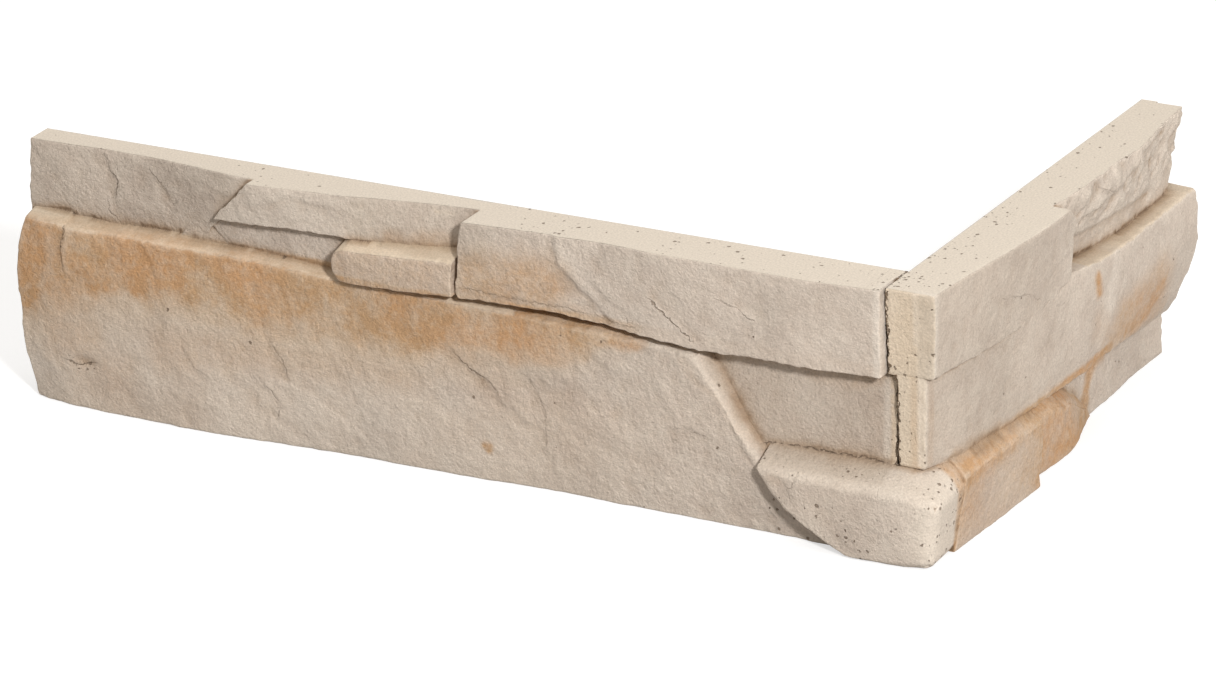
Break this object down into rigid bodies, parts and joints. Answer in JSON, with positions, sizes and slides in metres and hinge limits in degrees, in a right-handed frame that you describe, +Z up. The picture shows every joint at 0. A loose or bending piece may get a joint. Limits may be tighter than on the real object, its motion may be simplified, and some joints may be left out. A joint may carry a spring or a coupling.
{
  "type": "stone veneer corner slip",
  "caption": "L-shaped outside-corner slip of stone-look wall cladding: a long and a short leg at a right angle, each faced with stacked split stones.",
  "frame": {"origin": "the outside corner of the wall that the slip wraps, at the slip's bed", "axes": "-X along the long leg from the corner, +Y along the short leg from the corner, +Z up from bed to top"},
  "size_m": [0.3899, 0.217, 0.1],
  "materials": {
    "cast_stone": "matt split stone, grey-beige with cream edges and ochre stains"
  },
  "bodies": {
    "root": {"corner_slip": "cast_stone"}
  },
  "joints": []
}
